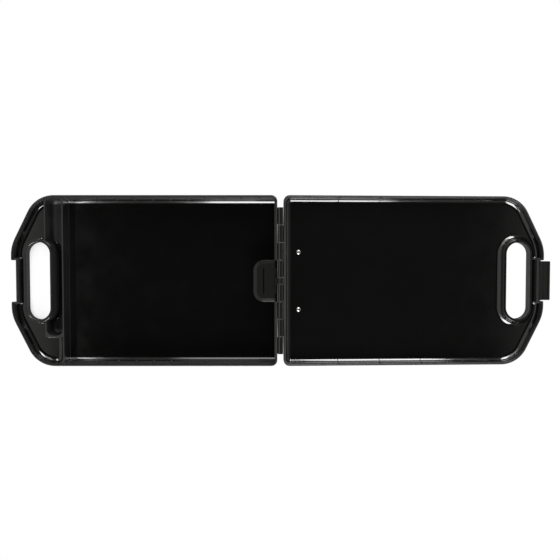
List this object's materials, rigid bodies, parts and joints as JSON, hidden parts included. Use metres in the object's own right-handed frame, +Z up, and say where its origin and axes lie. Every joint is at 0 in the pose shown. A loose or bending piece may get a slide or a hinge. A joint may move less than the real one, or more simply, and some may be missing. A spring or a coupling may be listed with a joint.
{
  "type": "storage clipboard box",
  "caption": "Hinged storage clipboard box lying open: a deep tray with pen compartments and a shallow lid with latch and paper clip, both with a handle slot.",
  "frame": {"origin": "centre of the tray's flat underside, on the surface the open box lies on", "axes": "+X along the open box from the tray to the lid, +Z up out of the tray, Y along the hinge"},
  "size_m": [0.7543, 0.2364, 0.0437],
  "materials": {
    "moulded_plastic": "glossy black injection moulding",
    "latch_plastic": "satin black injection moulding",
    "pin_steel": "drawn steel wire",
    "clip_steel": "nickel plated sheet steel",
    "spring_steel": "hard drawn spring wire",
    "rivet_metal": "bright domed head",
    "grip_rubber": "matt black rubber"
  },
  "bodies": {
    "tray": {"tray_shell": "moulded_plastic", "paper_guard": "moulded_plastic", "hinge_pin": "pin_steel"},
    "lid": {"lid_shell": "moulded_plastic", "latch_pin": "pin_steel", "clip_base": "clip_steel", "clip_rod": "pin_steel", "clip_spring": "spring_steel", "clip_rivets": "rivet_metal"},
    "latch": {"latch_flap": "latch_plastic"},
    "jaw": {"clip_jaw": "clip_steel", "jaw_grips": "grip_rubber"}
  },
  "joints": [
    {"name": "lid_hinge", "type": "hinge", "parent": "tray", "child": "lid", "pos_m": [0.1884, 0, 0.04], "axis": [0, -1, 0], "range_deg": [0, 184.01]},
    {"name": "latch_hinge", "type": "hinge", "parent": "lid", "child": "latch", "pos_m": [0.55568, 0, 0.00825], "axis": [0, -1, 0], "range_deg": [0, 90]},
    {"name": "jaw_pivot", "type": "hinge", "parent": "lid", "child": "jaw", "pos_m": [0.2138, 0, 0.01617], "axis": [0, 1, 0], "range_deg": [0, 25], "stiffness_Nm_per_rad": 0.4, "springref_deg": -40.11, "deforming": ["clip_spring"]}
  ]
}
